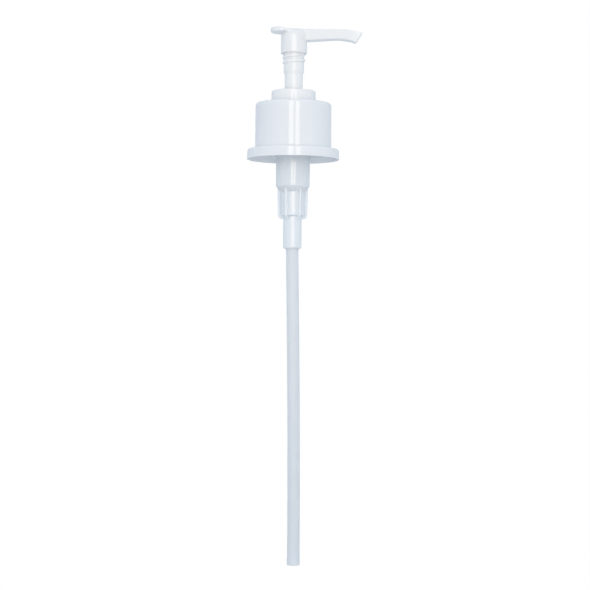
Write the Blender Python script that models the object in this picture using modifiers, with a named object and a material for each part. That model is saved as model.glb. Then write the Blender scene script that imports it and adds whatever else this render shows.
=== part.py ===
"""Condiment pump dispenser: a press-head plunger pump that screws onto a 38 mm bottle neck.

The scene is in metres, +Z up along the pump's axis and +X along the spout. The origin is on the
axis at the underside of the neck gasket, where the pump sits on the bottle's neck.

Every dimension below is in millimetres, and MM turns it into metres when a mesh is made.
A turned outline is a list of (radius, height) or (radius, height, fillet) that starts at the top,
runs down the outer side and comes back up the inner side.
"""

import math

import bmesh
import bpy
from mathutils import Matrix, Vector

MM = 0.001
SEGMENTS = 40
SMALL_SEGMENTS = 28
TUBE_SEGMENTS = 24
BAR_RESOLUTION = 2
FILLET_STEPS = 2
BEVEL_STEPS = 2
BEVEL_ANGLE = math.radians(40)
SHARP_ANGLE = math.radians(32)
MERGE = 0.00001
OVERSHOOT = 1.0

# Actuator head
HEAD_BASE = 32.4
HEAD_BASE_R = 7.15
HEAD_TOP_R = 7.2
HEAD_EDGE = 0.3
SKIRT_TOP = 45.0
SKIRT_SHOULDER = 2.8
HEAD_BORE_R = 5.05
HEAD_BORE_TOP = 41.3
HEAD_RECESS_R = 6.4
HEAD_RECESS_DEPTH = 1.0
RISER_R = 2.6
RISER_TOP = 43.6
PAD_R = 7.2
PAD_CENTRE_X = -5.7
PAD_ARC_START = math.radians(58)
PAD_ARC_STEPS = 16
PAD_NOSE_X = 6.0
PAD_NOSE_HALF_WIDTH = 2.4
PAD_UNDERSIDE = 44.0
PAD_NOSE_TOP = 45.3
PAD_RISE = 0.05
PAD_EDGE = 0.7

# Spout: its outline seen from the side, as (x, height, fillet), and its two half widths
SPOUT_SIDE = [
    (0.0, 45.5),
    (0.0, 39.2),
    (8.0, 39.45),
    (25.0, 40.35, 6.0),
    (31.2, 39.5, 3.0),
    (33.75, 38.6, 0.5),
    (37.3, 44.0, 0.4),
    (30.0, 45.8, 8.0),
]
SPOUT_TIP_X = 37.3
SPOUT_ROOT_HALF_WIDTH = 3.65
SPOUT_TIP_HALF_WIDTH = 2.8
SPOUT_EDGE = 0.7
CHANNEL_R = 1.8
CHANNEL_Z = 42.9
CHANNEL_BEND = [(30.8, 0.0), (32.6, 0.4), (39.5, 4.1)]

# Stem and its lock thread
STEM_TOP = 41.0
STEM_SPIGOT_R = 4.85
STEM_SHOULDER_R = 6.1
STEM_SHOULDER_TOP = 33.1
STEM_SHOULDER_BASE = 31.5
STEM_BAND_TOP = 31.0
STEM_BAND_R = 5.57
STEM_BAND_BASE = 22.9
STEM_SHAFT_TOP = 20.9
STEM_SHAFT_TOP_R = 5.03
STEM_SHAFT_R = 4.9
STEM_BORE_R = 2.7
STEM_SOCKET_R = 3.45
STEM_SOCKET_TOP = 8.3
STEM_STOP_R = 7.0
STEM_STOP_TOP = -4.7
STEM_BASE = -6.2
STEM_STOP_EDGE = 0.2
STEM_SPIGOT_EDGE = 0.4
LOCK_PITCH = 3.15
LOCK_START_Z = 27.7
LOCK_BEAD_R = 0.95
LOCK_CREST_R = 6.2
LOCK_TURNS = 1.15

# Discharge valve: a hollow rod with side ports, and the piston that slides on it
ROD_TOP = 8.0
ROD_R = 3.3
ROD_BORE_R = 2.0
ROD_BORE_BASE = -14.0
PORT_R = 0.9
PORT_Z = -12.9
POPPET_TOP = -14.4
POPPET_SEAT_DROP = 0.5
POPPET_R = 5.0
POPPET_BASE = -16.6
ROD_NOSE = -18.6
ROD_NOSE_R = 3.2
ROD_EDGE = 0.4
PISTON_TOP = -7.9
PISTON_BASE = -14.2
PISTON_R = 7.9
PISTON_LIP = 0.55
PISTON_WAIST = 0.25
PISTON_RING = 1.0
PISTON_WAIST_TOP = -9.5
PISTON_WAIST_BASE = -12.6
PISTON_WEB_TOP = -10.4
PISTON_WEB_BASE = -11.9
PISTON_SLEEVE_R = 4.6
PISTON_BORE_R = 3.42
SMALL_EDGE = 0.2

# Locking collar, snapped over the housing's top
COLLAR_TOP = 11.9
COLLAR_R = 12.05
COLLAR_BASE_R = 12.25
COLLAR_EDGE = 0.7
COLLAR_BASE = 5.35
COLLAR_SLOT_TOP = 10.6
COLLAR_SLOT_R = 9.6
COLLAR_SLEEVE_R = 7.8
COLLAR_SLEEVE_BASE = -4.4
COLLAR_GUIDE_R = 5.2
COLLAR_GUIDE_TOP = 2.0
COLLAR_THREAD_R = 5.85
COLLAR_MOUTH = 0.3
LOCK_GROOVE_R = 0.7
LOCK_GROOVE_TURNS = 1.7
LOCK_GROOVE_RISE = 0.6

# Closure
CLOSURE_TOP = 5.1
CLOSURE_CEILING = 3.3
CLOSURE_HOLE_R = 9.7
CLOSURE_TOP_R = 20.75
CLOSURE_WAIST_R = 20.85
CLOSURE_INNER_R = 19.2
CLOSURE_EDGE = 1.2
FLANGE_TOP = -20.0
FLANGE_TOP_R = 25.0
FLANGE_EDGE = 1.0
RIM_R = 25.2
RIM_INNER_R = 24.0
RIM_DRAFT = 0.3
RIM_BASE = -25.5
FLANGE_CEILING = -21.9
NECK_THREAD_PITCH = 4.23
NECK_THREAD_BEAD_R = 1.3
NECK_THREAD_CREST_R = 17.8
NECK_THREAD_BASE = -10.6
NECK_THREAD_TURNS = 1.5
NECK_THREAD_START = math.radians(200)

# Gasket
GASKET_INNER_R = 9.6
GASKET_R = 17.4
GASKET_TOP = 1.35

# Pump housing
HOUSING_TOP = 10.3
HOUSING_R = 9.35
HOUSING_BASE_R = 9.26
HOUSING_BORE_R = 8.0
HOUSING_FLANGE_R = 17.3
HOUSING_FLANGE_TOP = 3.1
HOUSING_FLANGE_BASE = 1.55
SHOULDER_TOP = -40.0
SHOULDER_BASE = -43.3
SHOULDER_EDGE = 1.0
BORE_SHOULDER_DROP = 0.7
BARREL_TOP_R = 7.1
BARREL_BASE_R = 6.85
BARREL_BASE = -56.1
BARREL_BORE_R = 5.75
SEAT_TOP = -54.0
SEAT_PASSAGE_R = 1.8
SEAT_BASE = -57.95
BARREL_EDGE = 0.5
SOCKET_R = 5.05
SOCKET_BASE = -74.5
SOCKET_EDGE = 1.3
SOCKET_BORE_R = 3.5
SOCKET_STOP = -59.5
RIB_COUNT = 6
RIB_THICKNESS = 1.1
RIB_ROOT = 0.5
RIB_TOP = -41.9
RIB_TOP_R = 8.4
RIB_CORNER = 0.4
RIB_FOOT = [(8.12, -55.9), (7.7, -57.1), (6.9, -57.8), (5.15, -58.2)]
VENT_R = 0.8
VENT_Z = -2.6

# Inlet valve and return spring
CAGE_TOP = -47.6
CAGE_BASE = -53.9
CAGE_R = 5.55
CAGE_BORE_R = 3.75
CAGE_LIP_R = 2.0
CAGE_LIP_BASE = -49.6
CAGE_SLOT_WIDTH = 1.8
CAGE_SLOT_BASE = -50.6
CAGE_SLOT_ANGLE = math.radians(45)
CAGE_EDGE = 0.3
BALL_R = 3.175
BALL_Z = -55.1
SPRING_WIRE_R = 0.45
SPRING_MEAN_R = 4.2
SPRING_CLEARANCE = 0.3
SPRING_END_PITCH = 1.1
SPRING_OPEN_TURNS = 7
SPRING_POINTS_PER_TURN = 12

# Dip tube
TUBE_R = 3.4
TUBE_BORE_R = 2.45
TUBE_TOP = -59.8
TUBE_BASE = -247.3
TUBE_BOW = 2.1
TUBE_BOW_EASE = 8.0
TUBE_STATIONS = 7


def clear_scene():
    for obj in list(bpy.data.objects):
        bpy.data.objects.remove(obj, do_unlink=True)


def new_collection(name):
    collection = bpy.data.collections.new(name)
    bpy.context.scene.collection.children.link(collection)
    return collection


def new_material(name, colour, roughness, metallic=0.0, transmission=0.0):
    """A Principled material for one sub-part."""
    material = bpy.data.materials.new(name)
    material.use_nodes = True
    shader = material.node_tree.nodes["Principled BSDF"]
    shader.inputs["Base Color"].default_value = (*colour, 1.0)
    shader.inputs["Roughness"].default_value = roughness
    shader.inputs["Metallic"].default_value = metallic
    shader.inputs["Transmission Weight"].default_value = transmission
    material.diffuse_color = (*colour, 1.0)
    return material


def new_object(name, mesh, collection):
    obj = bpy.data.objects.new(name, mesh)
    collection.objects.link(obj)
    return obj


def as_cutter(obj):
    obj.display_type = "WIRE"
    obj.hide_render = True
    return obj


def filleted(outline, closed):
    """The outline's points, with each corner that has a third value turned into an arc of that radius."""
    points = []
    for index, corner in enumerate(outline):
        here = Vector(corner[:2])
        at_end = not closed and index in (0, len(outline) - 1)
        if len(corner) < 3 or at_end:
            points.append(here)
            continue
        back = (Vector(outline[index - 1][:2]) - here).normalized()
        ahead = (Vector(outline[(index + 1) % len(outline)][:2]) - here).normalized()
        half = back.angle(ahead) / 2
        centre = here + (back + ahead).normalized() * corner[2] / math.sin(half)
        start = here + back * corner[2] / math.tan(half) - centre
        sweep = (math.pi - 2 * half) * (1 if back.cross(ahead) < 0 else -1)
        for step in range(FILLET_STEPS + 1):
            turn = Matrix.Rotation(sweep * step / FILLET_STEPS, 2)
            points.append(centre + turn @ start)
    return points


def turned(name, outline, collection, segments=SEGMENTS):
    """A turned solid: the outline and a Screw modifier. An outline that starts on the axis stays open there."""
    closed = outline[0][0] > 0
    points = filleted(outline, closed)
    edges = [(i, i + 1) for i in range(len(points) - 1)]
    if closed:
        edges.append((len(points) - 1, 0))
    mesh = bpy.data.meshes.new(name)
    mesh.from_pydata([(p.x * MM, 0.0, p.y * MM) for p in points], edges, [])
    obj = new_object(name, mesh, collection)
    screw = obj.modifiers.new("Turn", "SCREW")
    screw.axis = "Z"
    screw.steps = segments
    screw.render_steps = segments
    screw.use_merge_vertices = True
    screw.merge_threshold = MERGE
    return obj


def swept(name, points, radius, resolution, collection):
    """A round bar along the points, made a mesh so that it can be cut or joined."""
    curve = bpy.data.curves.new(name, "CURVE")
    curve.dimensions = "3D"
    curve.bevel_depth = radius * MM
    curve.bevel_resolution = resolution
    curve.use_fill_caps = True
    spline = curve.splines.new("POLY")
    spline.points.add(len(points) - 1)
    for point, place in zip(spline.points, points):
        point.co = (place[0] * MM, place[1] * MM, place[2] * MM, 1.0)
    guide = new_object(name + "_path", curve, collection)
    bpy.context.view_layer.update()
    evaluated = guide.evaluated_get(bpy.context.evaluated_depsgraph_get())
    mesh = bpy.data.meshes.new_from_object(evaluated)
    weld(mesh)
    obj = new_object(name, mesh, collection)
    obj.matrix_world = guide.matrix_world
    bpy.data.objects.remove(guide, do_unlink=True)
    return obj


def weld(mesh):
    work = bmesh.new()
    work.from_mesh(mesh)
    bmesh.ops.remove_doubles(work, verts=work.verts, dist=MERGE)
    bmesh.ops.recalc_face_normals(work, faces=work.faces)
    work.to_mesh(mesh)
    work.free()


def extruded(name, outline, half_depth, collection):
    """A flat outline, closed and filled, made thick by half_depth on both sides of its plane."""
    curve = bpy.data.curves.new(name, "CURVE")
    curve.dimensions = "2D"
    curve.fill_mode = "BOTH"
    curve.extrude = half_depth * MM
    spline = curve.splines.new("POLY")
    points = filleted(outline, closed=True)
    spline.points.add(len(points) - 1)
    spline.use_cyclic_u = True
    for point, place in zip(spline.points, points):
        point.co = (place.x * MM, place.y * MM, 0.0, 1.0)
    guide = new_object(name + "_outline", curve, collection)
    bpy.context.view_layer.update()
    evaluated = guide.evaluated_get(bpy.context.evaluated_depsgraph_get())
    mesh = bpy.data.meshes.new_from_object(evaluated)
    weld(mesh)
    bpy.data.objects.remove(guide, do_unlink=True)
    return new_object(name, mesh, collection)


def rod_mesh(name, radius, length):
    """A plain cylinder along Z, centred on its own origin."""
    mesh = bpy.data.meshes.new(name)
    work = bmesh.new()
    bmesh.ops.create_cone(
        work, cap_ends=True, segments=SEGMENTS // 2,
        radius1=radius * MM, radius2=radius * MM, depth=length * MM)
    work.to_mesh(mesh)
    work.free()
    return mesh


def box_mesh(name, size):
    """A box of the given X, Y and Z size, centred on its own origin."""
    mesh = bpy.data.meshes.new(name)
    work = bmesh.new()
    bmesh.ops.create_cube(work, size=1.0)
    bmesh.ops.scale(work, vec=[side * MM for side in size], verts=work.verts)
    work.to_mesh(mesh)
    work.free()
    return mesh


def boolean(target, other, operation):
    modifier = target.modifiers.new(other.name, "BOOLEAN")
    modifier.operation = operation
    modifier.solver = "EXACT"
    modifier.object = other


def finish(obj, material):
    """Applies the modifiers, shades round faces smooth and gives the piece its material."""
    bpy.context.view_layer.update()
    evaluated = obj.evaluated_get(bpy.context.evaluated_depsgraph_get())
    mesh = bpy.data.meshes.new_from_object(evaluated)
    obj.modifiers.clear()
    obj.data = mesh
    mesh.name = obj.name
    mesh.shade_smooth()
    mesh.set_sharp_from_angle(angle=SHARP_ANGLE)
    mesh.materials.clear()
    mesh.materials.append(material)
    return obj


def helix(radius, pitch, base, start_angle, turns, per_turn=SEGMENTS // 2):
    """Points of a right-handed helix about Z that rises from base."""
    count = round(turns * per_turn)
    points = []
    for step in range(count + 1):
        share = turns * step / count
        angle = start_angle + 2 * math.pi * share
        points.append((radius * math.cos(angle), radius * math.sin(angle), base + pitch * share))
    return points


def actuator_head(parts, cutters, material):
    """Finger pad, skirt and spout in one moulding, with the channel from the stem to the nozzle."""
    head = turned("actuator_head", [
        (0, SKIRT_TOP),
        (HEAD_TOP_R, SKIRT_TOP, SKIRT_SHOULDER),
        (HEAD_BASE_R, HEAD_BASE, HEAD_EDGE),
        (0, HEAD_BASE),
    ], parts)
    boolean(head, finger_pad(cutters), "UNION")
    boolean(head, spout(cutters), "UNION")
    socket = as_cutter(turned("stem_socket", [
        (0, RISER_TOP),
        (RISER_R, RISER_TOP),
        (RISER_R, HEAD_BORE_TOP),
        (HEAD_BORE_R, HEAD_BORE_TOP),
        (HEAD_BORE_R, HEAD_BASE + HEAD_RECESS_DEPTH),
        (HEAD_RECESS_R, HEAD_BASE + HEAD_RECESS_DEPTH),
        (HEAD_RECESS_R, HEAD_BASE - OVERSHOOT),
        (0, HEAD_BASE - OVERSHOOT),
    ], cutters))
    boolean(head, socket, "DIFFERENCE")
    line = [(0.0, 0.0, CHANNEL_Z)]
    line += [(x, 0.0, CHANNEL_Z - drop) for x, drop in CHANNEL_BEND]
    channel = as_cutter(swept("channel", line, CHANNEL_R, 2 * BAR_RESOLUTION, cutters))
    boolean(head, channel, "DIFFERENCE")
    return finish(head, material)


def finger_pad(cutters):
    """A spoon-shaped plate that rises a little towards the back."""
    outline = []
    sweep = 2 * (math.pi - PAD_ARC_START)
    for step in range(PAD_ARC_STEPS + 1):
        angle = PAD_ARC_START + sweep * step / PAD_ARC_STEPS
        outline.append((PAD_CENTRE_X + PAD_R * math.cos(angle), PAD_R * math.sin(angle)))
    outline.append((PAD_NOSE_X, -PAD_NOSE_HALF_WIDTH))
    outline.append((PAD_NOSE_X, PAD_NOSE_HALF_WIDTH))
    half = (PAD_NOSE_TOP - PAD_UNDERSIDE) / 2
    pad = extruded("finger_pad", outline, half, cutters)
    pad.data.transform(Matrix.Translation((0.0, 0.0, (PAD_UNDERSIDE + half) * MM)))
    for vertex in pad.data.vertices:
        if vertex.co.z > (PAD_UNDERSIDE + half) * MM:
            vertex.co.z += (PAD_NOSE_X * MM - vertex.co.x) * PAD_RISE
    bevel(pad, PAD_EDGE)
    return as_cutter(pad)


def spout(cutters):
    """A tapered beam whose end turns down to a slanted nozzle face."""
    beam = extruded("spout", SPOUT_SIDE, SPOUT_ROOT_HALF_WIDTH, cutters)
    beam.data.transform(Matrix.Rotation(math.radians(90), 4, "X"))
    narrowing = 1 - SPOUT_TIP_HALF_WIDTH / SPOUT_ROOT_HALF_WIDTH
    for vertex in beam.data.vertices:
        vertex.co.y *= 1 - narrowing * vertex.co.x / (SPOUT_TIP_X * MM)
    bevel(beam, SPOUT_EDGE)
    return as_cutter(beam)


def bevel(obj, width):
    modifier = obj.modifiers.new("Rounded edges", "BEVEL")
    modifier.width = width * MM
    modifier.segments = BEVEL_STEPS
    modifier.limit_method = "ANGLE"
    modifier.angle_limit = BEVEL_ANGLE


def stem(parts, cutters, material):
    """The plunger's stem: spigot in the head, lock thread, wide band, shaft and stop flange."""
    body = turned("stem", [
        (STEM_SPIGOT_R, STEM_TOP, STEM_SPIGOT_EDGE),
        (STEM_SPIGOT_R, STEM_SHOULDER_TOP),
        (STEM_SHOULDER_R, STEM_SHOULDER_TOP),
        (STEM_SHOULDER_R, STEM_SHOULDER_BASE),
        (STEM_BAND_R, STEM_BAND_TOP),
        (STEM_BAND_R, STEM_BAND_BASE),
        (STEM_SHAFT_TOP_R, STEM_SHAFT_TOP),
        (STEM_SHAFT_R, COLLAR_TOP),
        (STEM_SHAFT_R, STEM_STOP_TOP),
        (STEM_STOP_R, STEM_STOP_TOP, STEM_STOP_EDGE),
        (STEM_STOP_R, STEM_BASE, STEM_STOP_EDGE),
        (STEM_SOCKET_R, STEM_BASE),
        (STEM_SOCKET_R, STEM_SOCKET_TOP),
        (STEM_BORE_R, STEM_SOCKET_TOP),
        (STEM_BORE_R, STEM_TOP),
    ], parts)
    line = helix(LOCK_CREST_R - LOCK_BEAD_R, LOCK_PITCH, LOCK_START_Z, math.pi, LOCK_TURNS)
    thread = as_cutter(swept("lock_thread", line, LOCK_BEAD_R, BAR_RESOLUTION, cutters))
    boolean(body, thread, "UNION")
    return finish(body, material)


def piston_rod(parts, cutters, material):
    """Hollow rod with four side ports above a poppet flange, closed at its lower end."""
    rod = turned("piston_rod", [
        (0, ROD_BORE_BASE),
        (ROD_BORE_R, ROD_BORE_BASE),
        (ROD_BORE_R, ROD_TOP),
        (ROD_R, ROD_TOP, ROD_EDGE),
        (ROD_R, POPPET_TOP),
        (POPPET_R, POPPET_TOP - POPPET_SEAT_DROP),
        (POPPET_R, POPPET_BASE, SMALL_EDGE),
        (ROD_NOSE_R, POPPET_BASE),
        (ROD_NOSE_R, ROD_NOSE, ROD_EDGE),
        (0, ROD_NOSE),
    ], parts, SMALL_SEGMENTS)
    for turn in range(2):
        port = as_cutter(new_object("port_%d" % turn, rod_mesh("port", PORT_R, 4 * ROD_R), cutters))
        port.location.z = PORT_Z * MM
        port.rotation_euler = (math.radians(90), 0.0, math.radians(90 * turn))
        boolean(rod, port, "DIFFERENCE")
    return finish(rod, material)


def piston(parts, material):
    """A sleeve, a web and an outer ring with a sealing lip at each end."""
    lip_back = PISTON_R - PISTON_LIP
    waist = PISTON_R - PISTON_WAIST
    ring_inner = PISTON_R - PISTON_RING
    return finish(turned("piston", [
        (PISTON_BORE_R, PISTON_TOP),
        (PISTON_SLEEVE_R, PISTON_TOP, SMALL_EDGE),
        (PISTON_SLEEVE_R, PISTON_WEB_TOP),
        (ring_inner, PISTON_WEB_TOP),
        (lip_back, PISTON_TOP),
        (PISTON_R, PISTON_TOP),
        (waist, PISTON_WAIST_TOP),
        (waist, PISTON_WAIST_BASE),
        (PISTON_R, PISTON_BASE),
        (lip_back, PISTON_BASE),
        (ring_inner, PISTON_WEB_BASE),
        (PISTON_SLEEVE_R, PISTON_WEB_BASE),
        (PISTON_SLEEVE_R, PISTON_BASE, SMALL_EDGE),
        (PISTON_BORE_R, PISTON_BASE),
    ], parts, SMALL_SEGMENTS), material)


def locking_collar(parts, cutters, material):
    """Collar with a slot for the housing's wall, a stem guide and a female lock thread at its mouth."""
    collar = turned("locking_collar", [
        (COLLAR_THREAD_R + COLLAR_MOUTH, COLLAR_TOP),
        (COLLAR_R, COLLAR_TOP, COLLAR_EDGE),
        (COLLAR_BASE_R, COLLAR_BASE, SMALL_EDGE),
        (COLLAR_SLOT_R, COLLAR_BASE),
        (COLLAR_SLOT_R, COLLAR_SLOT_TOP),
        (COLLAR_SLEEVE_R, COLLAR_SLOT_TOP),
        (COLLAR_SLEEVE_R, COLLAR_SLEEVE_BASE, SMALL_EDGE),
        (COLLAR_GUIDE_R, COLLAR_SLEEVE_BASE),
        (COLLAR_GUIDE_R, COLLAR_GUIDE_TOP),
        (COLLAR_THREAD_R, COLLAR_GUIDE_TOP + COLLAR_THREAD_R - COLLAR_GUIDE_R),
        (COLLAR_THREAD_R, COLLAR_TOP - COLLAR_MOUTH),
    ], parts)
    groove_base = COLLAR_TOP + LOCK_GROOVE_RISE - LOCK_PITCH * LOCK_GROOVE_TURNS
    line = helix(COLLAR_THREAD_R, LOCK_PITCH, groove_base, 0.0, LOCK_GROOVE_TURNS)
    groove = as_cutter(swept("lock_groove", line, LOCK_GROOVE_R, BAR_RESOLUTION, cutters))
    boolean(collar, groove, "DIFFERENCE")
    return finish(collar, material)


def closure(parts, cutters, material):
    """Smooth screw closure with a wide hollow flange at its foot and a thread for the bottle's neck."""
    shell = turned("closure", [
        (CLOSURE_HOLE_R, CLOSURE_TOP),
        (CLOSURE_TOP_R, CLOSURE_TOP, CLOSURE_EDGE),
        (CLOSURE_WAIST_R, FLANGE_TOP),
        (FLANGE_TOP_R, FLANGE_TOP, FLANGE_EDGE),
        (RIM_R, RIM_BASE),
        (RIM_INNER_R, RIM_BASE),
        (RIM_INNER_R - RIM_DRAFT, FLANGE_CEILING),
        (CLOSURE_INNER_R, FLANGE_CEILING),
        (CLOSURE_INNER_R, CLOSURE_CEILING),
        (CLOSURE_HOLE_R, CLOSURE_CEILING),
    ], parts)
    line = helix(
        NECK_THREAD_CREST_R + NECK_THREAD_BEAD_R, NECK_THREAD_PITCH, NECK_THREAD_BASE,
        NECK_THREAD_START, NECK_THREAD_TURNS)
    thread = as_cutter(swept("neck_thread", line, NECK_THREAD_BEAD_R, BAR_RESOLUTION, cutters))
    boolean(shell, thread, "UNION")
    return finish(shell, material)


def neck_gasket(parts, material):
    return finish(turned("neck_gasket", [
        (GASKET_INNER_R, GASKET_TOP),
        (GASKET_R, GASKET_TOP),
        (GASKET_R, 0.0),
        (GASKET_INNER_R, 0.0),
    ], parts), material)


def pump_housing(parts, cutters, material):
    """Stepped cylinder: pump chamber, ribbed valve barrel and dip tube socket, hung by its flange."""
    housing = turned("pump_housing", [
        (HOUSING_R, HOUSING_TOP),
        (HOUSING_R, HOUSING_FLANGE_TOP),
        (HOUSING_FLANGE_R, HOUSING_FLANGE_TOP),
        (HOUSING_FLANGE_R, HOUSING_FLANGE_BASE),
        (HOUSING_R, HOUSING_FLANGE_BASE),
        (HOUSING_BASE_R, SHOULDER_TOP, SHOULDER_EDGE),
        (BARREL_TOP_R, SHOULDER_BASE),
        (BARREL_BASE_R, BARREL_BASE, BARREL_EDGE),
        (SOCKET_R, BARREL_BASE - BARREL_EDGE),
        (SOCKET_R, SOCKET_BASE, SOCKET_EDGE),
        (SOCKET_BORE_R, SOCKET_BASE),
        (SOCKET_BORE_R, SOCKET_STOP),
        (SEAT_PASSAGE_R, SOCKET_STOP),
        (SEAT_PASSAGE_R, SEAT_BASE),
        (BARREL_BORE_R, SEAT_TOP),
        (BARREL_BORE_R, SHOULDER_BASE - BORE_SHOULDER_DROP),
        (HOUSING_BORE_R, SHOULDER_TOP - BORE_SHOULDER_DROP),
        (HOUSING_BORE_R, HOUSING_TOP),
    ], parts)
    for number in range(RIB_COUNT):
        rib = rib_plate("rib_%d" % number, cutters)
        rib.rotation_euler.z = 2 * math.pi * number / RIB_COUNT
        boolean(housing, rib, "UNION")
    wall_middle = (HOUSING_R + HOUSING_BORE_R) / 2
    vent = as_cutter(new_object("vent", rod_mesh("vent", VENT_R, 4 * VENT_R), cutters))
    vent.location = (0.0, wall_middle * MM, VENT_Z * MM)
    vent.rotation_euler.x = math.radians(90)
    boolean(housing, vent, "DIFFERENCE")
    return finish(housing, material)


def rib_plate(name, cutters):
    """One rib along +X, from inside the shoulder's cone down to the root of the socket."""
    root = BARREL_BORE_R + RIB_ROOT
    neck = SOCKET_R - RIB_ROOT
    side = [
        (RIB_TOP_R - RIB_CORNER, RIB_TOP + RIB_CORNER),
        (root, RIB_TOP + RIB_CORNER),
        (root, BARREL_BASE + OVERSHOOT),
        (neck, BARREL_BASE),
        (neck, RIB_FOOT[-1][1]),
        *reversed(RIB_FOOT),
        (RIB_TOP_R, RIB_TOP),
    ]
    plate = extruded(name, side, RIB_THICKNESS / 2, cutters)
    plate.data.transform(Matrix.Rotation(math.radians(90), 4, "X"))
    return as_cutter(plate)


def ball_cage(parts, cutters, material):
    """Ring with four fingers that carries the spring and limits the ball's lift."""
    cage = turned("ball_cage", [
        (CAGE_LIP_R, CAGE_TOP),
        (CAGE_R, CAGE_TOP, CAGE_EDGE),
        (CAGE_R, CAGE_BASE),
        (CAGE_BORE_R, CAGE_BASE),
        (CAGE_BORE_R, CAGE_LIP_BASE),
        (CAGE_LIP_R, CAGE_LIP_BASE),
    ], parts, SMALL_SEGMENTS)
    height = CAGE_TOP - CAGE_SLOT_BASE + OVERSHOOT
    size = (4 * CAGE_R, CAGE_SLOT_WIDTH, height)
    for turn in range(2):
        slot = as_cutter(new_object("slot_%d" % turn, box_mesh("slot", size), cutters))
        slot.location.z = (CAGE_SLOT_BASE + height / 2) * MM
        slot.rotation_euler.z = CAGE_SLOT_ANGLE + math.radians(90) * turn
        boolean(cage, slot, "DIFFERENCE")
    return finish(cage, material)


def inlet_ball(parts, material):
    mesh = bpy.data.meshes.new("inlet_ball")
    work = bmesh.new()
    bmesh.ops.create_uvsphere(work, u_segments=16, v_segments=10, radius=BALL_R * MM)
    work.to_mesh(mesh)
    work.free()
    ball = new_object("inlet_ball", mesh, parts)
    ball.location.z = BALL_Z * MM
    return finish(ball, material)


def return_spring(parts, material):
    """Compression spring between the ball cage and the poppet, with one closed turn at each end."""
    base = CAGE_TOP + SPRING_CLEARANCE + SPRING_WIRE_R
    top = POPPET_BASE - SPRING_CLEARANCE - SPRING_WIRE_R
    open_pitch = (top - base - 2 * SPRING_END_PITCH) / SPRING_OPEN_TURNS
    points = []
    for step in range((SPRING_OPEN_TURNS + 2) * SPRING_POINTS_PER_TURN + 1):
        turns = step / SPRING_POINTS_PER_TURN
        angle = 2 * math.pi * turns
        height = base + SPRING_END_PITCH * min(turns, 1.0)
        height += open_pitch * min(max(turns - 1.0, 0.0), SPRING_OPEN_TURNS)
        height += SPRING_END_PITCH * max(turns - 1.0 - SPRING_OPEN_TURNS, 0.0)
        points.append((SPRING_MEAN_R * math.cos(angle), SPRING_MEAN_R * math.sin(angle), height))
    return finish(swept("return_spring", points, SPRING_WIRE_R, BAR_RESOLUTION, parts), material)


def tube_bow(height):
    """How far the tube's centre has bowed towards +X at this height, by the set of its coiled stock."""
    free = max(0.0, SOCKET_BASE - height)
    length = SOCKET_BASE - TUBE_BASE
    eased = 1 - math.exp(-free / TUBE_BOW_EASE)
    return TUBE_BOW * math.sin(math.pi / 2 * free / length) * eased


def dip_tube(parts, material):
    """Suction tube, straight in its socket and then bowed slightly."""
    heights = [TUBE_TOP]
    for step in range(TUBE_STATIONS + 1):
        heights.append(SOCKET_BASE + (TUBE_BASE - SOCKET_BASE) * step / TUBE_STATIONS)
    outline = [(TUBE_R, height) for height in heights]
    outline += [(TUBE_BORE_R, height) for height in reversed(heights)]
    tube = turned("dip_tube", outline, parts, TUBE_SEGMENTS)
    finish(tube, material)
    for vertex in tube.data.vertices:
        vertex.co.x += tube_bow(vertex.co.z / MM) * MM
    return tube


def new_axis(name, height, children, parts):
    """An empty on the pump's axis that carries the pieces which move with it."""
    axis = bpy.data.objects.new(name, None)
    axis.location.z = height * MM
    axis.empty_display_size = 5 * MM
    parts.objects.link(axis)
    for child in children:
        child.parent = axis
        child.location.z -= height * MM


def build():
    clear_scene()
    parts = new_collection("condiment_pump_dispenser")
    cutters = new_collection("cutters")
    cutters.hide_render = True
    white = (0.86, 0.88, 0.90)
    natural = (0.72, 0.77, 0.82)
    head = actuator_head(parts, cutters, new_material("head_white", white, 0.22))
    plunger = stem(parts, cutters, new_material("stem_white", white, 0.25))
    rod = piston_rod(parts, cutters, new_material("rod_natural", natural, 0.35))
    seal = piston(parts, new_material("piston_natural", (0.80, 0.84, 0.88), 0.4))
    locking_collar(parts, cutters, new_material("collar_white", white, 0.24))
    closure(parts, cutters, new_material("closure_white", white, 0.22))
    neck_gasket(parts, new_material("gasket_foam", (0.90, 0.90, 0.88), 0.9))
    pump_housing(parts, cutters, new_material("housing_natural", natural, 0.28, transmission=0.5))
    ball_cage(parts, cutters, new_material("cage_natural", natural, 0.35))
    inlet_ball(parts, new_material("ball_steel", (0.62, 0.62, 0.63), 0.12, metallic=1.0))
    return_spring(parts, new_material("spring_steel", (0.58, 0.57, 0.55), 0.3, metallic=1.0))
    dip_tube(parts, new_material("tube_natural", (0.80, 0.85, 0.89), 0.3, transmission=0.6))
    new_axis("plunger_axis", HEAD_BASE, [head, plunger, rod, seal], parts)


build()
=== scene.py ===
import collections
import math

import bmesh
import bpy
import numpy as np
from mathutils import Matrix, Vector


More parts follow.
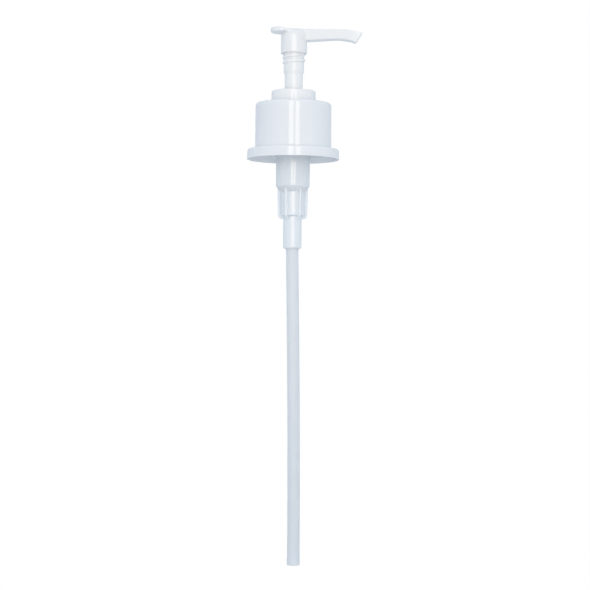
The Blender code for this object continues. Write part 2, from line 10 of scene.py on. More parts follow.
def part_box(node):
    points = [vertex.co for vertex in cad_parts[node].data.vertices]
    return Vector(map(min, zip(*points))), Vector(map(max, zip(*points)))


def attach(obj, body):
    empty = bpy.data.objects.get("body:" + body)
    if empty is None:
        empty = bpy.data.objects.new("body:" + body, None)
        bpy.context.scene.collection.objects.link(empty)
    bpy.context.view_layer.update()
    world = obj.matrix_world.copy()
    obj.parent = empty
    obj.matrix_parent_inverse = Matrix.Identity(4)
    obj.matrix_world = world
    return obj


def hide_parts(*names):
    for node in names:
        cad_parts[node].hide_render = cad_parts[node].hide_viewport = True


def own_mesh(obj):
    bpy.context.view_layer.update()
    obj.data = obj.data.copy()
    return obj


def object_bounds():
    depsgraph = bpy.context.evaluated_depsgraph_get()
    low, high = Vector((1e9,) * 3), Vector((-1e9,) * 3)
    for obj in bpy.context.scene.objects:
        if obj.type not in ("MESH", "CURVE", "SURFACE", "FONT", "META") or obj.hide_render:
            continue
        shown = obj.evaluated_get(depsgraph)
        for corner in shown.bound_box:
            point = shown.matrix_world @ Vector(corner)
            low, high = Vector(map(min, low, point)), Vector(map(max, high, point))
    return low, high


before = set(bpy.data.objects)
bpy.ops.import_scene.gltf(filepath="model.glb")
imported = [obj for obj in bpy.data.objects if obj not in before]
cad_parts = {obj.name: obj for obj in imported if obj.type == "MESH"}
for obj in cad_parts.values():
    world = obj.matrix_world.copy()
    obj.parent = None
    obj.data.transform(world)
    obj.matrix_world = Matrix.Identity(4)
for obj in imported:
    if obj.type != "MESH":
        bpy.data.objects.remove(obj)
CAD_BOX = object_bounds()

# Looks of the condiment pump dispenser. The scene is in metres, +Z up along the pump's axis and
# +X along the spout. A piece's lengths are in millimetres, and MM turns them into metres when its
# mesh is made. Its ends and its widest radius come from the box of the CAD node it stands for.
# A turned outline is a list of (radius, height) or (radius, height, fillet): it starts at the top,
# runs down the outer side and comes back up the inner side.
MM = 0.001
SEGMENTS = 160
ARC_STEPS = 6
SHARP_ANGLE = math.radians(35)
RIB_SHARP_ANGLE = math.radians(20)
MERGE = 0.002
LOCK_PITCH = 2.85
NECK_PITCH = 4.23

Extent = collections.namedtuple("Extent", "base top radius left right")


def extent(node):
    """A CAD node's box in millimetres: its z range, its half width in y and its x range."""
    low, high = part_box(node)
    return Extent(low.z / MM, high.z / MM, (high.y - low.y) / 2 / MM, low.x / MM, high.x / MM)


# Mesh helpers

def new_object(name, mesh):
    obj = bpy.data.objects.new(name, mesh)
    bpy.context.scene.collection.objects.link(obj)
    return obj


def filleted(outline, closed=True):
    """The outline's points, with each corner that has a third value turned into an arc of that radius."""
    points = []
    for index, corner in enumerate(outline):
        here = Vector(corner[:2])
        if len(corner) < 3 or (not closed and index in (0, len(outline) - 1)):
            points.append(here)
            continue
        back = (Vector(outline[index - 1][:2]) - here).normalized()
        ahead = (Vector(outline[(index + 1) % len(outline)][:2]) - here).normalized()
        half = back.angle(ahead) / 2
        centre = here + (back + ahead).normalized() * corner[2] / math.sin(half)
        start = here + back * corner[2] / math.tan(half) - centre
        sweep = (math.pi - 2 * half) * (1 if back.cross(ahead) < 0 else -1)
        for step in range(ARC_STEPS + 1):
            points.append(centre + Matrix.Rotation(sweep * step / ARC_STEPS, 2) @ start)
    return points


def turned(name, outline, segments=SEGMENTS):
    """A turned solid from an outline. One that starts on the axis isn't closed along it."""
    closed = outline[0][0] > 0
    points = filleted(outline, closed)
    edges = [(i, i + 1) for i in range(len(points) - 1)]
    if closed:
        edges.append((len(points) - 1, 0))
    mesh = bpy.data.meshes.new(name)
    mesh.from_pydata([(p.x * MM, 0.0, p.y * MM) for p in points], edges, [])
    obj = new_object(name, mesh)
    screw = obj.modifiers.new("Turn", "SCREW")
    screw.axis = "Z"
    screw.steps = segments
    screw.render_steps = segments
    screw.use_merge_vertices = True
    screw.merge_threshold = MERGE * MM
    return obj


def loft(name, rings, cyclic=False):
    """A closed mesh through rings of points, in millimetres, with its ends capped unless it is cyclic."""
    work = bmesh.new()
    rows = [[work.verts.new(Vector(p) * MM) for p in ring] for ring in rings]
    size = len(rows[0])
    pairs = list(zip(rows, rows[1:]))
    if cyclic:
        pairs.append((rows[-1], rows[0]))
    for one, two in pairs:
        for i in range(size):
            work.faces.new((one[i], one[(i + 1) % size], two[(i + 1) % size], two[i]))
    if not cyclic:
        work.faces.new(rows[0])
        work.faces.new(rows[-1])
    bmesh.ops.recalc_face_normals(work, faces=work.faces)
    mesh = bpy.data.meshes.new(name)
    work.to_mesh(mesh)
    work.free()
    return new_object(name, mesh)


def thread_ridge(name, root, crest, half_widths, pitch, base, start, turns):
    """A helical ridge with a softened crest, whose ends fade into its wall."""
    per_turn = 96
    fade = 0.03
    soft = 0.16
    root_half, crest_half = half_widths
    side = math.copysign(soft, crest - root)
    buried = root + 2 * side
    rings = []
    for step in range(round(turns * per_turn) + 1):
        share = step / per_turn
        angle = start + 2 * math.pi * share
        height = base + pitch * share
        grown = max(0.0, min(1.0, share / fade, (turns - share) / fade))
        grown = grown * grown * (3 - 2 * grown)
        tip = buried + (crest - buried) * grown
        section = [
            (root, -root_half), (tip - side, -crest_half - soft / 3), (tip, -crest_half + soft),
            (tip, crest_half - soft), (tip - side, crest_half + soft / 3), (root, root_half)]
        rings.append([(r * math.cos(angle), r * math.sin(angle), height + rise) for r, rise in section])
    return loft(name, rings)


def swept(name, points, radius, resolution):
    """A round bar with closed ends along the points, as a mesh."""
    curve = bpy.data.curves.new(name, "CURVE")
    curve.dimensions = "3D"
    curve.bevel_depth = radius * MM
    curve.bevel_resolution = resolution
    curve.use_fill_caps = True
    spline = curve.splines.new("POLY")
    spline.points.add(len(points) - 1)
    for point, place in zip(spline.points, points):
        point.co = (*(Vector(place) * MM), 1.0)
    guide = new_object(name + "_path", curve)
    mesh = evaluated_mesh(guide)
    bpy.data.objects.remove(guide, do_unlink=True)
    work = bmesh.new()
    work.from_mesh(mesh)
    bmesh.ops.remove_doubles(work, verts=work.verts, dist=MERGE * MM)
    bmesh.ops.recalc_face_normals(work, faces=work.faces)
    work.to_mesh(mesh)
    work.free()
    return new_object(name, mesh)


def plate(name, outline, thickness):
    """A flat plate in the XZ plane, centred on y = 0, with the given (x, z) outline."""
    points = filleted(outline)
    half = thickness / 2
    return loft(name, [[(p.x, y, p.y) for p in points] for y in (-half, half)])


def evaluated_mesh(obj):
    bpy.context.view_layer.update()
    return bpy.data.meshes.new_from_object(obj.evaluated_get(bpy.context.evaluated_depsgraph_get()))


def applied(obj):
    """Replaces the object's mesh by its evaluated one, without modifiers."""
    mesh = evaluated_mesh(obj)
    obj.modifiers.clear()
    obj.data = mesh
    return obj


def boolean(target, other, operation):
    """Joins or cuts at once, and removes the other object."""
    modifier = target.modifiers.new(operation.title(), "BOOLEAN")
    modifier.operation = operation
    modifier.solver = "EXACT"
    modifier.object = other
    applied(target)
    bpy.data.objects.remove(other, do_unlink=True)


def bevelled(obj, width):
    """Rounds the object's corners a little."""
    modifier = obj.modifiers.new("Edges", "BEVEL")
    modifier.width = width * MM
    modifier.segments = 2
    modifier.limit_method = "ANGLE"
    modifier.angle_limit = math.radians(40)
    return applied(obj)


def fitted(obj, body, node, material, sharp=SHARP_ANGLE):
    """Shades the piece, gives it its material, and rides it on its body in place of the CAD node."""
    applied(obj)
    obj.data.shade_smooth()
    obj.data.set_sharp_from_angle(angle=sharp)
    weighted = obj.modifiers.new("Normals", "WEIGHTED_NORMAL")
    weighted.keep_sharp = True
    applied(obj)
    obj.data.materials.clear()
    obj.data.materials.append(material)
    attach(obj, body)
    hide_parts(node)
    return obj


# Distance fields, for the head's flowing shape

def rounded_meet(a, b, radius):
    """Where two distances are both negative, with the edge between them rounded."""
    outer = np.hypot(np.maximum(a + radius, 0), np.maximum(b + radius, 0))
    return outer + np.minimum(np.maximum(a, b) + radius, 0) - radius


def smooth_join(a, b, reach):
    """The union of two distances, with a fillet where they meet."""
    share = np.clip(0.5 + 0.5 * (b - a) / reach, 0, 1)
    return b + (a - b) * share - reach * share * (1 - share)


def outline_distance(points, outline):
    """Signed distance from 2D points to a closed outline, negative inside."""
    nearest = np.full(len(points), np.inf)
    inside = np.zeros(len(points), bool)
    for index, end in enumerate(outline):
        start = np.array(outline[index - 1])
        edge = np.array(end) - start
        away = points - start
        along = np.clip(away @ edge / (edge @ edge), 0, 1)
        nearest = np.minimum(nearest, np.hypot(*(away - along[:, None] * edge).T))
        crosses = (start[1] > points[:, 1]) != (end[1] > points[:, 1])
        with np.errstate(divide="ignore", invalid="ignore"):
            reach = start[0] + (points[:, 1] - start[1]) * edge[0] / edge[1]
        inside ^= crosses & (points[:, 0] < reach)
    return np.where(inside, -nearest, nearest)


def solid_from_field(name, field, low, high, step):
    """A closed mesh of the field's zero surface: a vertex in each cell it crosses, moved onto it."""
    axes = [np.arange(low[i], high[i] + step, step) for i in range(3)]
    grid = np.stack(np.meshgrid(*axes, indexing="ij"), axis=-1)
    inside = (field(grid.reshape(-1, 3)) < 0).reshape(grid.shape[:3])
    count = np.zeros([n - 1 for n in inside.shape], int)
    for corner in np.ndindex(2, 2, 2):
        count += inside[tuple(slice(c, n - 1 + c) for c, n in zip(corner, inside.shape))]
    cells = np.argwhere((count > 0) & (count < 8))
    number = np.full(count.shape, -1)
    number[tuple(cells.T)] = np.arange(len(cells))
    points = np.array(low) + (cells + 0.5) * step
    faces = []
    for axis in range(3):
        u, v = np.eye(3, dtype=int)[[(axis + 1) % 3, (axis + 2) % 3]]
        near = np.take(inside, range(inside.shape[axis] - 1), axis)
        far = np.take(inside, range(1, inside.shape[axis]), axis)
        edges = np.argwhere(near != far)
        quads = np.stack([number[tuple((edges - d).T)] for d in (u * 0, u, u + v, v)], axis=1)
        leaves = near[tuple(edges.T)]
        faces.append(np.where(leaves[:, None], quads, quads[:, ::-1]))
    faces = np.concatenate(faces)
    ends = np.concatenate([faces[:, [i, (i + 1) % 4]] for i in range(4)])
    for _ in range(5):
        total = np.zeros_like(points)
        weight = np.zeros(len(points))
        np.add.at(total, ends[:, 0], points[ends[:, 1]])
        np.add.at(weight, ends[:, 0], 1)
        points = total / weight[:, None]
        points = on_surface(field, points)
    mesh = bpy.data.meshes.new(name)
    mesh.from_pydata((points * MM).tolist(), [], faces.tolist())
    mesh.validate()
    return new_object(name, mesh)


def on_surface(field, points):
    """Moves points along the field's slope to where it is zero, in three rounds."""
    nudge = 0.01
    for _ in range(3):
        slope = np.stack(
            [(field(points + d) - field(points - d)) / (2 * nudge) for d in np.eye(3) * nudge], axis=1)
        points = points - slope * (field(points) / np.maximum((slope ** 2).sum(axis=1), 0.1))[:, None]
    return points


# Materials

def mottled(
        name, tones, roughness, mottle=120.0, grain=1500.0, bump=0.012, stretch=1.0, seam=0.0, **sockets):
    """A Principled material: two tones in soft patches, roughness that varies, and a fine bump.

    stretch draws the grain out along Z. seam is the half width of a fine raised mould line where y is 0.
    The other values go straight to the shader's sockets, with _ for a space.
    """
    material = bpy.data.materials.new(name)
    material.use_nodes = True
    nodes = material.node_tree.nodes
    link = material.node_tree.links.new
    shader = nodes["Principled BSDF"]
    place = nodes.new("ShaderNodeTexCoord").outputs["Object"]
    drawn = nodes.new("ShaderNodeMapping")
    drawn.inputs["Scale"].default_value = (1.0, 1.0, 1.0 / stretch)
    link(place, drawn.inputs["Vector"])

    def noise(source, scale, detail):
        texture = nodes.new("ShaderNodeTexNoise")
        texture.inputs["Scale"].default_value = scale
        texture.inputs["Detail"].default_value = detail
        link(source, texture.inputs["Vector"])
        return texture.outputs["Fac"]

    patches = noise(place, mottle, 3.0)
    fine = noise(drawn.outputs["Vector"], grain, 4.0)
    colour = nodes.new("ShaderNodeMix")
    colour.data_type = "RGBA"
    link(patches, colour.inputs["Factor"])
    for socket, tone in zip([i for i in colour.inputs if i.type == "RGBA"], tones):
        socket.default_value = (*tone, 1.0)
    link(next(o for o in colour.outputs if o.type == "RGBA"), shader.inputs["Base Color"])
    gloss = nodes.new("ShaderNodeMapRange")
    gloss.inputs["From Min"].default_value = 0.3
    gloss.inputs["From Max"].default_value = 0.7
    gloss.inputs["To Min"].default_value = roughness[0]
    gloss.inputs["To Max"].default_value = roughness[1]
    link(fine, gloss.inputs["Value"])
    link(gloss.outputs["Result"], shader.inputs["Roughness"])
    relief = nodes.new("ShaderNodeBump")
    relief.inputs["Strength"].default_value = bump
    relief.inputs["Distance"].default_value = 0.0001
    height = fine
    if seam:
        height = mould_line(nodes, link, place, fine, seam)
    link(height, relief.inputs["Height"])
    link(relief.outputs["Normal"], shader.inputs["Normal"])
    for socket, value in sockets.items():
        shader.inputs[socket.replace("_", " ")].default_value = value
    return material


def mould_line(nodes, link, place, fine, half_width):
    """Adds a fine ridge at y = 0 to a height."""
    parts = nodes.new("ShaderNodeSeparateXYZ")
    link(place, parts.inputs["Vector"])
    off = nodes.new("ShaderNodeMath")
    off.operation = "ABSOLUTE"
    link(parts.outputs["Y"], off.inputs[0])
    ridge = nodes.new("ShaderNodeMapRange")
    ridge.interpolation_type = "SMOOTHSTEP"
    ridge.inputs["From Min"].default_value = 0.0
    ridge.inputs["From Max"].default_value = half_width * MM
    ridge.inputs["To Min"].default_value = 1.0
    ridge.inputs["To Max"].default_value = 0.0
    link(off.outputs["Value"], ridge.inputs["Value"])
    both = nodes.new("ShaderNodeMath")
    both.operation = "ADD"
    link(fine, both.inputs[0])
    link(ridge.outputs["Result"], both.inputs[1])
    return both.outputs["Value"]


def plastic(name, tones, roughness, scatter, depth=2.0, **values):
    """A mottled material with light that scatters inside it, by a share and to a depth."""
    values.update(
        Subsurface_Weight=scatter, Subsurface_Radius=(1.0, 1.0, 1.0), Subsurface_Scale=depth * MM)
    return mottled(name, tones, roughness, **values)


COOL_WHITE = ((0.86, 0.872, 0.88), (0.845, 0.86, 0.872))
BRIGHT_WHITE = ((0.892, 0.892, 0.886), (0.877, 0.88, 0.877))
NATURAL = ((0.87, 0.912, 0.963), (0.85, 0.892, 0.945))
TUBE = ((0.832, 0.885, 0.95), (0.812, 0.865, 0.932))
SOFT = ((0.82, 0.84, 0.83), (0.78, 0.81, 0.80))
FOAM = ((0.88, 0.87, 0.84), (0.80, 0.80, 0.78))
WIRE = ((0.56, 0.55, 0.53), (0.46, 0.455, 0.45))
POLISHED = ((0.64, 0.64, 0.65), (0.60, 0.60, 0.61))

white_head = plastic(
    "white_head", BRIGHT_WHITE, (0.08, 0.12), 0.5, 1.5, bump=0.006, seam=0.09, Specular_IOR_Level=0.85)
white_stem = plastic(
    "white_stem", BRIGHT_WHITE, (0.1, 0.14), 0.6, 1.5, bump=0.006, Specular_IOR_Level=0.75)
white_collar = plastic(
    "white_collar", BRIGHT_WHITE, (0.16, 0.22), 0.3, 1.5, bump=0.006, Specular_IOR_Level=0.65)
white_closure = plastic(
    "white_closure", COOL_WHITE, (0.05, 0.08), 0.35, grain=900.0, bump=0.004, Specular_IOR_Level=0.65)
natural_housing = plastic(
    "natural_housing", NATURAL, (0.03, 0.06), 0.7, mottle=60.0, grain=700.0, bump=0.002, stretch=6.0,
    Specular_IOR_Level=1.0)
natural_inner = plastic("natural_inner", NATURAL, (0.3, 0.42), 0.6)
natural_tube = plastic(
    "natural_tube", TUBE, (0.36, 0.5), 0.8, mottle=90.0, grain=1300.0, bump=0.03, stretch=30.0)
piston_soft = plastic("piston_soft", SOFT, (0.4, 0.55), 0.4, grain=1800.0)
gasket_foam = mottled(
    "gasket_foam", FOAM, (0.8, 0.95), mottle=900.0, grain=3200.0, bump=0.7, Sheen_Weight=0.2)
spring_steel = mottled("spring_steel", WIRE, (0.2, 0.36), grain=2600.0, bump=0.05, Metallic=1.0)
ball_steel = mottled("ball_steel", POLISHED, (0.05, 0.1), bump=0.005, Metallic=1.0)


# Pieces

def head_field(head):
    """Signed distance to the head's outer shape: a skirt, a finger pad and a spout that flow together."""
    skirt_r = 7.15
    shoulder = 41.3
    pad_base = 43.9
    pad_r = 6.6
    pad_x = head.left + pad_r
    nose_r = 3.3
    nose_x = 6.5
    top = 45.65
    heel_rise = 1.0
    dish_depth = 0.45
    dish_x = -5.0
    spout_root = 3.9
    spout_tip = 3.3
    spout = [tuple(p) for p in filleted([
        (0.0, 49.0), (0.0, 39.1), (8.0, 39.42), (25.0, 40.42, 30.0), (31.2, 39.5, 10.0), (33.75, 38.5, 0.3),
        (head.right + 0.2, 43.82, 0.12), (29.2, 45.74, 30.0), (9.0, 45.38, 30.0), (4.0, 49.0)])]

    def top_line(x, y):
        """The pad's top, with a raised heel and a thumb dish. Over the spout it lifts clear."""
        rise = np.clip((-3.0 - x) / 8.0, 0, 1)
        dish = np.clip(1 - (y / 5.4) ** 2, 0, 1) * np.clip(1 - ((x - dish_x) / 6.5) ** 2, 0, 1)
        clear = 4 * np.clip((x - 12) / 6, 0, 1) ** 2
        return top + heel_rise * rise * rise * (3 - 2 * rise) - dish_depth * dish + clear

    def field(points):
        x, y, z = points.T
        radius = np.hypot(x, y)
        lean = 0.12 * np.maximum(z - shoulder, 0) ** 2
        skirt = rounded_meet(radius - skirt_r + lean, head.base - z, 0.3)
        along = np.clip((x - pad_x) / (nose_x - pad_x), 0, 1)
        plan = np.hypot(x - pad_x - along * (nose_x - pad_x), y) - pad_r + along * (pad_r - nose_r)
        pad = rounded_meet(plan, pad_base + 0.2 * np.clip((-3.2 - x) / 7.8, 0, 1) - z, 0.6)
        half = spout_tip + (spout_root - spout_tip) * np.clip(1 - x / head.right, 0, 1) ** 2
        beam = rounded_meet(outline_distance(np.stack([x, z], axis=1), spout), np.abs(y) - half, 0.65)
        flow = 0.7 + 0.6 * np.clip((z - 39.8) / 2.4, 0, 1)
        body = smooth_join(smooth_join(skirt, beam, flow), pad, 0.7)
        return rounded_meet(body, z - top_line(x, y), 1.0)

    return field


def actuator_head():
    """Finger pad, skirt and spout in one moulding, bored for the stem and along the spout."""
    head = extent("actuator_head")
    low = (head.left - 1.0, -8.6, head.base - 1.0)
    high = (head.right + 1.0, 8.6, head.top + 1.0)
    grid_step = 0.3
    obj = solid_from_field("head_moulding", head_field(head), low, high, grid_step)
    riser_top = 43.6
    socket_top = head.base + 8.9
    recess = head.base + 1.0
    below = head.base - 2.0
    boolean(obj, turned("socket_cut", [
        (0, riser_top), (2.6, riser_top, 0.3), (2.6, socket_top), (5.05, socket_top, 0.3), (5.05, recess),
        (6.25, recess, 0.2), (6.25, below), (0, below)], segments=96), "DIFFERENCE")
    channel_z = 42.9
    bend_x = 30.4
    line = [(0.0, 0.0, channel_z), (bend_x, 0.0, channel_z)]
    line += [(bend_x + 3.2 * s, 0.0, channel_z - 0.95 * s * s) for s in (0.25, 0.5, 0.75, 1.0)]
    line.append((40.0, 0.0, 38.2))
    boolean(obj, swept("channel_cut", line, 1.8, 12), "DIFFERENCE")
    return fitted(obj, "plunger", "actuator_head", white_head)


def stem():
    """Spigot, shoulder, lock thread, wide band, shaft and stop flange."""
    size = extent("stem")
    shoulder = 33.1
    rod_end = 8.3
    stop = size.base + 1.5
    obj = turned("stem_moulding", [
        (4.85, size.top, 0.4), (4.85, shoulder, 0.15), (6.1, shoulder, 0.2), (6.1, 31.55, 0.25),
        (5.57, 31.1, 0.25), (5.57, 22.7, 0.25), (5.03, 21.0, 0.3), (4.9, 11.9), (4.9, stop, 0.3),
        (size.radius, stop, 0.25), (size.radius, size.base, 0.25), (3.6, size.base, 0.1),
        (3.45, size.base + 0.3), (3.45, rod_end, 0.1), (2.7, rod_end, 0.2), (2.7, size.top, 0.2)])
    applied(obj)
    thread_base = 27.35
    boolean(obj, thread_ridge(
        "lock_thread", 5.2, 6.2, (1.02, 0.62), LOCK_PITCH, thread_base, math.pi, 1.35), "UNION")
    return fitted(obj, "plunger", "stem", white_stem)


def piston_rod():
    """Hollow rod with four side ports above a poppet flange."""
    size = extent("piston_rod")
    blind_end = -14.0
    poppet_base = -16.6
    port_z = -12.9
    obj = turned("rod_moulding", [
        (0, blind_end), (2.0, blind_end, 0.3), (2.0, size.top, 0.15), (3.3, size.top, 0.45),
        (3.3, -14.4, 0.2), (5.0, -14.9, 0.2), (5.0, poppet_base, 0.25), (3.2, poppet_base, 0.2),
        (3.2, size.base, 0.5), (0, size.base)], segments=96)
    applied(obj)
    for turn in range(2):
        port = swept("port_cut", [(-6.0, 0.0, port_z), (6.0, 0.0, port_z)], 0.9, 8)
        port.rotation_euler.z = math.radians(90 * turn)
        boolean(obj, port, "DIFFERENCE")
    return fitted(obj, "plunger", "piston_rod", natural_inner)


def piston():
    """A sleeve, a web and an outer ring with a thin sealing lip at each end."""
    size = extent("piston")
    web = (size.base + 2.3, size.top - 2.5)
    bore = 3.42
    lip = 7.9
    obj = turned("piston_seal", [
        (bore, size.top, 0.2), (4.6, size.top, 0.3), (4.6, web[1], 0.3), (6.9, web[1], 0.3),
        (7.35, size.top, 0.1), (lip, size.top, 0.15), (7.65, size.top - 1.6, 0.8),
        (7.65, size.base + 1.6, 0.8), (lip, size.base, 0.15), (7.35, size.base, 0.1), (6.9, web[0], 0.3),
        (4.6, web[0], 0.3), (4.6, size.base, 0.3), (bore, size.base, 0.2)], segments=128)
    return fitted(obj, "piston", "piston", piston_soft)


def locking_collar():
    """Collar with a slot for the housing's wall, a guide for the stem and the female lock thread."""
    size = extent("locking_collar")
    foot = 5.35
    slot_top = 10.6
    obj = turned("collar_moulding", [
        (6.15, size.top, 0.12), (size.radius - 0.2, size.top, 0.6), (size.radius, foot, 0.2),
        (9.6, foot, 0.15), (9.6, slot_top, 0.2), (7.8, slot_top, 0.2), (7.8, size.base, 0.3),
        (5.2, size.base, 0.25), (5.2, 2.0, 0.15), (5.85, 2.65, 0.15), (5.85, size.top - 0.3, 0.12)])
    applied(obj)
    turns = 2.1
    thread_base = size.top + 1.2 - LOCK_PITCH * turns
    boolean(obj, thread_ridge(
        "lock_groove", 5.5, 6.55, (0.95, 0.75), LOCK_PITCH, thread_base, 0.0, turns), "DIFFERENCE")
    return fitted(obj, "housing", "locking_collar", white_collar)


def closure():
    """Smooth screw closure over a wide hollow flange, with the neck thread inside."""
    size = extent("closure")
    flange = -20.0
    flange_under = -21.9
    ceiling = 3.3
    inner = 19.2
    hole = 9.7
    obj = turned("closure_moulding", [
        (hole, size.top, 0.3), (size.radius - 4.45, size.top, 1.25), (size.radius - 4.35, flange, 0.12),
        (size.radius - 0.2, flange, 1.0), (size.radius + 0.1, size.base, 0.15), (24.55, size.base, 0.2),
        (24.1, flange_under, 0.6), (inner, flange_under, 0.4), (inner, ceiling, 0.8),
        (hole, ceiling, 0.2)], segments=192)
    applied(obj)
    thread_base = -10.6
    thread_start = math.radians(200)
    boolean(obj, thread_ridge(
        "neck_thread", inner + 0.5, 17.8, (1.45, 0.75), NECK_PITCH, thread_base, thread_start, 1.5), "UNION")
    return fitted(obj, "closure", "closure", white_closure)


def neck_gasket():
    """A flat ring of foam between the housing's flange and the bottle's rim."""
    size = extent("neck_gasket")
    hole = 9.6
    obj = turned("gasket_ring", [
        (hole, size.top, 0.12), (size.radius, size.top, 0.2), (size.radius, size.base, 0.2),
        (hole, size.base, 0.12)])
    return fitted(obj, "housing", "neck_gasket", gasket_foam)


def pump_housing():
    """Pump chamber, coned shoulder, ribbed valve barrel and dip tube socket, hung by its flange."""
    size = extent("pump_housing")
    wall = 9.35
    draft = 0.09
    flange = (3.1, 1.55)
    shoulder = -40.0
    barrel = (-43.3, -56.1)
    socket_top = -59.5
    obj = turned("housing_moulding", [
        (wall, size.top, 0.3), (wall, flange[0], 0.25), (size.radius, flange[0], 0.2),
        (size.radius, flange[1], 0.2), (wall, flange[1], 0.2), (wall - draft, shoulder, 1.2),
        (7.05, barrel[0], 0.6), (6.85, barrel[1], 0.55), (5.05, barrel[1] - 0.45, 0.35),
        (5.05, size.base, 1.45), (3.5, size.base, 0.1), (3.5, socket_top), (1.8, socket_top, 0.2),
        (1.8, -57.95, 0.3), (5.75, -54.0, 0.2), (5.75, barrel[0] - 0.7, 0.2), (8.0, shoulder - 0.7, 0.4),
        (8.0, size.top, 0.3)])
    applied(obj)
    rib_side = [
        (7.9, -41.5, 0.3), (6.25, -41.5), (6.25, -55.1), (4.55, -56.1), (4.55, -58.2), (5.15, -58.2, 0.2),
        (6.9, -57.8, 0.9), (7.7, -57.1, 0.5), (8.12, -55.9, 0.9), (8.4, -41.9, 0.25)]
    ribs = 6
    rib_width = 0.95
    first_rib = math.radians(1.6)
    for number in range(ribs):
        rib = bevelled(plate("rib", rib_side, rib_width), 0.22)
        rib.rotation_euler.z = first_rib + 2 * math.pi * number / ribs
        boolean(obj, rib, "UNION")
    vent_z = -2.6
    boolean(obj, swept("vent_cut", [(0.0, 7.0, vent_z), (0.0, 11.0, vent_z)], 0.8, 8), "DIFFERENCE")
    return fitted(
        obj, "housing", "pump_housing", natural_housing, sharp=RIB_SHARP_ANGLE)


def ball_cage():
    """Ring with four fingers that carries the spring and limits the ball's lift."""
    size = extent("ball_cage")
    ball_stop = size.top - 2.0
    obj = turned("cage_moulding", [
        (2.0, size.top, 0.2), (size.radius, size.top, 0.35), (size.radius, size.base, 0.2),
        (3.75, size.base, 0.2), (3.75, ball_stop, 0.2), (2.0, ball_stop, 0.2)], segments=96)
    applied(obj)
    slot_top = size.top + 1.0
    slot_base = size.top - 3.0
    slot_side = [(-11.0, slot_top), (-11.0, slot_base), (11.0, slot_base), (11.0, slot_top)]
    for turn in range(2):
        slot = plate("slot_cut", slot_side, 1.8)
        slot.rotation_euler.z = math.radians(45 + 90 * turn)
        boolean(obj, slot, "DIFFERENCE")
    return fitted(obj, "housing", "ball_cage", natural_inner)


def inlet_ball():
    """The polished check ball, as wide as its node is tall."""
    low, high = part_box("inlet_ball")
    mesh = bpy.data.meshes.new("steel_ball")
    work = bmesh.new()
    bmesh.ops.create_icosphere(work, subdivisions=5, radius=(high.z - low.z) / 2)
    bmesh.ops.translate(work, vec=(low + high) / 2, verts=work.verts)
    work.to_mesh(mesh)
    work.free()
    return fitted(new_object("steel_ball", mesh), "ball", "inlet_ball", ball_steel)


def return_spring():
    """Compression spring with a closed, flattened turn at each end."""
    size = extent("return_spring")
    wire = 0.45
    end_pitch = 1.1
    open_turns = 7
    per_turn = 48
    base = size.base + wire
    open_pitch = (size.top - size.base - 2 * wire - 2 * end_pitch) / open_turns
    radius = size.radius - wire
    points = []
    for step in range((open_turns + 2) * per_turn + 1):
        turns = step / per_turn
        height = base + end_pitch * (min(turns, 1.0) + max(turns - 1.0 - open_turns, 0.0))
        height += open_pitch * min(max(turns - 1.0, 0.0), open_turns)
        angle = 2 * math.pi * turns
        points.append((radius * math.cos(angle), radius * math.sin(angle), height))
    obj = swept("steel_spring", points, wire, 4)
    fitted(obj, "spring", "return_spring", spring_steel)
    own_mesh(obj)
    return obj


def dip_tube():
    """Suction tube: straight in its socket, bowed below it, and a little flared at its cut end."""
    size = extent("dip_tube")
    outer = size.radius
    inner = outer - 0.95
    socket_end = extent("pump_housing").base
    bow = 2.1
    sides = 64
    soft = 0.12
    slant = 0.12
    flare = 0.18
    heights = np.linspace(size.top, size.base, 90)
    rings = []
    for turn in range(sides):
        angle = 2 * math.pi * turn / sides
        cut = slant * max(math.cos(angle), 0.0)
        ring = []
        for radius, inward, order in ((outer, -soft, 1), (inner, soft, -1)):
            for height in heights[::order]:
                edge = inward if height in (size.top, size.base) else 0.0
                free = max(0.0, socket_end - height)
                eased = 1 - math.exp(-free / 8.0)
                shift = bow * math.sin(math.pi / 2 * free / (socket_end - size.base)) * eased
                r = radius + edge + flare * math.exp((size.base - height) / 6.0)
                lift = cut if height < size.base + 1 else 0.0
                ring.append((r * math.cos(angle) + shift, r * math.sin(angle), height + lift))
        rings.append(ring)
    obj = loft("suction_tube", rings, cyclic=True)
    return fitted(obj, "housing", "dip_tube", natural_tube)


# Stage

SEEN_WHITE = (1.0, 1.0, 1.0)
STUDIO_GLOW = (0.688, 0.763, 0.853)
FLOOR_GLOW = (0.53, 0.585, 0.655)
WARM = (1.0, 0.86, 0.7)


def camera():
    """A level camera in front of the pump's middle, rolled by half a degree."""
    data = bpy.data.cameras.new("camera")
    data.lens = 85.0
    data.sensor_width = 36.0
    width_seen = 0.3231
    distance = width_seen * data.lens / data.sensor_width
    centre = (0.00175, -distance, -0.0996)
    roll = math.radians(0.52)
    obj = bpy.data.objects.new("camera", data)
    bpy.context.scene.collection.objects.link(obj)
    level = Matrix.Rotation(math.radians(90), 4, "X")
    obj.matrix_world = Matrix.Translation(centre) @ level @ Matrix.Rotation(roll, 4, "Z")
    bpy.context.scene.camera = obj


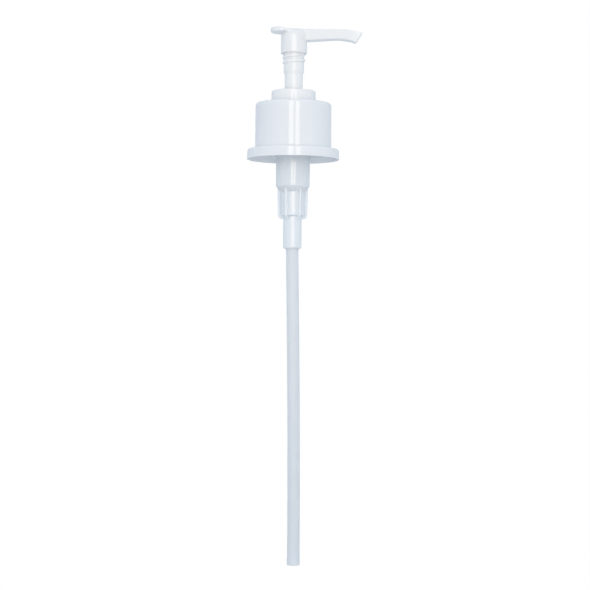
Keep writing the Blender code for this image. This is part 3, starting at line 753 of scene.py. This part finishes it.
def strip_light(name, azimuth, width):
    """A tall soft strip of warm light 1 m from the pump. Its azimuth and width are in degrees."""
    distance = 1.0
    middle = Vector((0, 0, -0.1))
    radiance = 2.7
    turn = math.radians(azimuth)
    away = Vector((math.sin(turn), -math.cos(turn), 0))
    light = bpy.data.lights.new(name, "AREA")
    light.shape = "RECTANGLE"
    light.size = 2 * math.tan(math.radians(width / 2)) * distance
    light.size_y = 1.1
    light.energy = radiance * math.pi * light.size * light.size_y
    light.color = WARM
    obj = bpy.data.objects.new(name, light)
    bpy.context.scene.collection.objects.link(obj)
    obj.location = away * distance + middle
    obj.rotation_euler = (-away).to_track_quat("-Z", "Y").to_euler()
    obj.visible_camera = False


def split_glow(tree, output_kind, glow_kind, cast):
    """White where the camera looks straight at it, and a dimmer colour as a light."""
    nodes, link = tree.nodes, tree.links.new
    nodes.clear()
    mix = nodes.new("ShaderNodeMixShader")
    link(nodes.new("ShaderNodeLightPath").outputs["Is Camera Ray"], mix.inputs["Fac"])
    for slot, colour in ((1, cast), (2, SEEN_WHITE)):
        glow = nodes.new(glow_kind)
        glow.inputs["Color"].default_value = (*colour, 1.0)
        link(glow.outputs[0], mix.inputs[slot])
    link(mix.outputs["Shader"], nodes.new(output_kind).inputs["Surface"])


def surroundings():
    """A cool, even studio whose walls and floor look white."""
    world = bpy.data.worlds.new("studio")
    bpy.context.scene.world = world
    world.use_nodes = True
    split_glow(world.node_tree, "ShaderNodeOutputWorld", "ShaderNodeBackground", STUDIO_GLOW)
    work = bmesh.new()
    bmesh.ops.create_circle(work, cap_ends=True, segments=96, radius=0.6)
    mesh = bpy.data.meshes.new("floor")
    work.to_mesh(mesh)
    work.free()
    floor = new_object("floor", mesh)
    floor.location.z = CAD_BOX[0].z - 0.002
    paint = bpy.data.materials.new("floor_paint")
    paint.use_nodes = True
    split_glow(paint.node_tree, "ShaderNodeOutputMaterial", "ShaderNodeEmission", FLOOR_GLOW)
    mesh.materials.append(paint)


camera()
surroundings()
strip_light("left_strip", -6.2, 13.5)
strip_light("right_strip", 12.6, 11.5)
bpy.context.scene.view_settings.view_transform = "Standard"

for make in (actuator_head, stem, piston_rod, piston, locking_collar, closure, neck_gasket, pump_housing,
             ball_cage, inlet_ball, return_spring, dip_tube):
    make()
